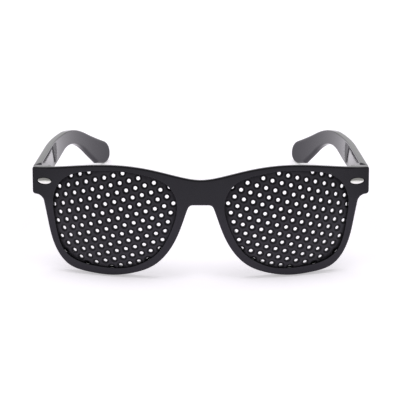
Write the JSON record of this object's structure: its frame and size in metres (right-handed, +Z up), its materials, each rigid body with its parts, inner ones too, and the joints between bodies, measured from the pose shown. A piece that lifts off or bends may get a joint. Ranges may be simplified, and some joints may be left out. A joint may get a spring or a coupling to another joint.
{
  "type": "pinhole glasses",
  "caption": "Black glasses with curved lens plates full of small round holes, worn to look through the holes; the two arms fold flat behind the front.",
  "frame": {"origin": "on the surface that the glasses stand on, at the middle of the width and depth of the whole", "axes": "+X to the wearer's left, +Y from the front towards the arm tips, +Z up; the glasses stand on both rims and both arm tips with the arms open, so the front leans back"},
  "size_m": [0.1448, 0.1408, 0.0477],
  "materials": {
    "front_plastic": "moulded, glossy, black",
    "lens_plastic": "moulded, satin, black",
    "temple_plastic": "moulded, glossy, black",
    "trim_metal": "polished, bright, slightly warm",
    "hinge_metal": "pressed and turned, plain"
  },
  "bodies": {
    "front": {"front_frame": "front_plastic", "pinhole_lens_left": "lens_plastic", "pinhole_lens_right": "lens_plastic", "front_trim_left": "trim_metal", "front_trim_right": "trim_metal", "front_hinge_leaf_left": "hinge_metal", "front_hinge_leaf_right": "hinge_metal", "hinge_screw_left": "hinge_metal", "hinge_screw_right": "hinge_metal"},
    "temple_left": {"temple_left": "temple_plastic", "temple_hinge_leaf_left": "hinge_metal", "temple_rivets_left": "hinge_metal"},
    "temple_right": {"temple_right": "temple_plastic", "temple_hinge_leaf_right": "hinge_metal", "temple_rivets_right": "hinge_metal"}
  },
  "joints": [
    {"name": "left_temple_fold", "type": "hinge", "parent": "front", "child": "temple_left", "pos_m": [0.06725, -0.04785, 0.03787], "axis": [0, 0.1633, 0.9866], "range_deg": [0, 84]},
    {"name": "right_temple_fold", "type": "hinge", "parent": "front", "child": "temple_right", "pos_m": [-0.06725, -0.04785, 0.03787], "axis": [0, -0.1633, -0.9866], "range_deg": [0, 77]}
  ]
}
